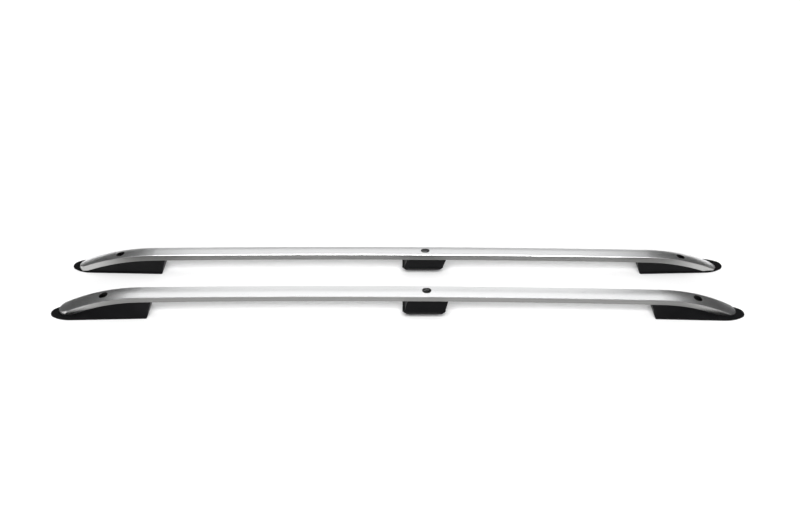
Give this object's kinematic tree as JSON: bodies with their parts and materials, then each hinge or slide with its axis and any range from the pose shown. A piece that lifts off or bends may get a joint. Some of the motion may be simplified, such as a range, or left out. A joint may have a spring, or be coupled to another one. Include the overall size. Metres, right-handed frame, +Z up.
{
  "type": "roof side rail pair",
  "caption": "Left and right roof side rails for a car: bent hollow aluminium profiles on black moulded feet, with access holes above sleeved bolt holes.",
  "frame": {"origin": "on the floor midway between the two rails and midway between the tips of the feet, level with the flat undersides of the four end feet", "axes": "+X along the rails towards the rear of the car, +Y towards the right-hand rail's outer side, +Z up"},
  "size_m": [2, 0.281, 0.074],
  "materials": {
    "satin_aluminium": "satin anodised, fine bead-blasted grain",
    "black_plastic": "moulded, low sheen with a fine texture",
    "zinc_steel": "bright zinc plate"
  },
  "bodies": {
    "root": {"right_front_bolt_sleeve": "zinc_steel", "right_front_foot": "black_plastic", "right_front_foot_screws": "zinc_steel", "right_middle_bolt_sleeve": "zinc_steel", "right_middle_foot": "black_plastic", "right_middle_foot_screws": "zinc_steel", "right_profile": "satin_aluminium", "right_rear_bolt_sleeve": "zinc_steel", "right_rear_foot": "black_plastic", "right_rear_foot_screws": "zinc_steel", "left_front_bolt_sleeve": "zinc_steel", "left_front_foot": "black_plastic", "left_front_foot_screws": "zinc_steel", "left_middle_bolt_sleeve": "zinc_steel", "left_middle_foot": "black_plastic", "left_middle_foot_screws": "zinc_steel", "left_profile": "satin_aluminium", "left_rear_bolt_sleeve": "zinc_steel", "left_rear_foot": "black_plastic", "left_rear_foot_screws": "zinc_steel"}
  },
  "joints": []
}
